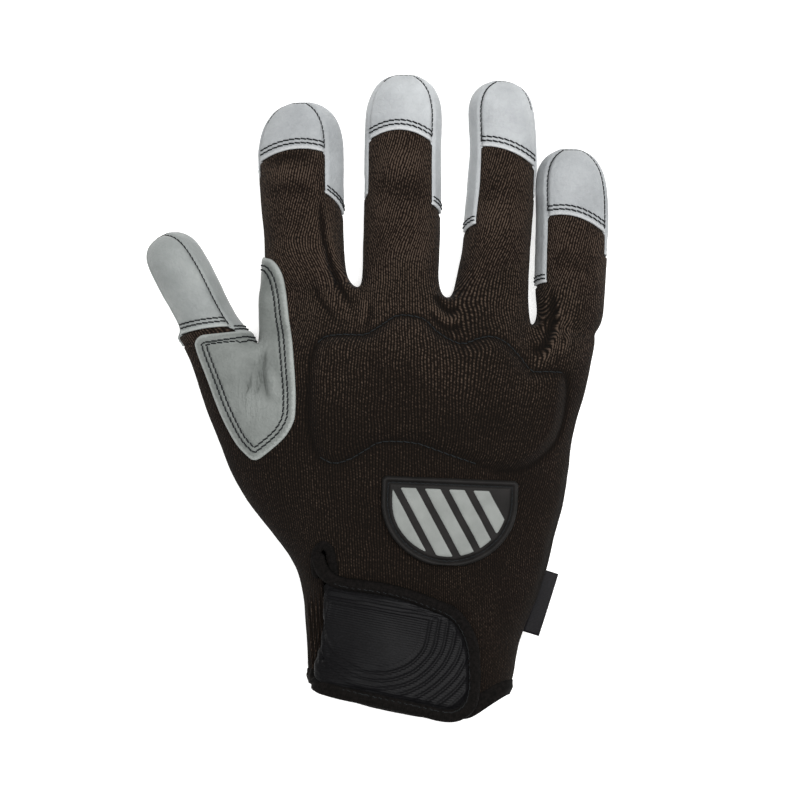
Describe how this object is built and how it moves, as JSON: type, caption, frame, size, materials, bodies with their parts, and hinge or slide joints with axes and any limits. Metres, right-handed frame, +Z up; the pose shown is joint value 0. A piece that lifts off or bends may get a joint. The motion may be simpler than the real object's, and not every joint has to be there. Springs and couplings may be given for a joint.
{
  "type": "fabricator glove, right hand",
  "caption": "Right-hand work glove with knitted back, grey leather fingertips and thumb saddle, rubber badge and wrist strap, lying palm down.",
  "frame": {"origin": "on the surface that the glove lies on, under the middle of its outline", "axes": "+Y toward the fingertips, +X toward the little finger, +Z up out of the back of the hand"},
  "size_m": [0.1738, 0.2398, 0.0325],
  "materials": {
    "knit": "ribbed knit, matt",
    "leather": "grain side, soft sheen",
    "tape": "woven tape, matt",
    "strap": "woven fabric, matt",
    "rubber": "moulded, satin",
    "motif": "moulded, satin",
    "label": "woven, matt"
  },
  "bodies": {
    "root": {"back_panel": "knit", "palm_panel": "knit", "thumb_back_tip": "leather", "index_back_tip": "leather", "middle_back_tip": "leather", "ring_back_tip": "leather", "little_back_tip": "leather", "thumb_pad": "leather", "index_pad": "leather", "middle_pad": "leather", "ring_pad": "leather", "little_pad": "leather", "crotch_patch": "leather", "badge": "rubber", "badge_rim": "rubber", "badge_bar_1": "motif", "badge_bar_2": "motif", "badge_bar_3": "motif", "badge_bar_4": "motif", "badge_bar_5": "motif", "closure_strap": "strap", "strap_binding": "tape", "strap_moulding": "rubber", "vent_binding": "tape", "cuff_binding": "tape", "side_label": "label"}
  },
  "joints": []
}
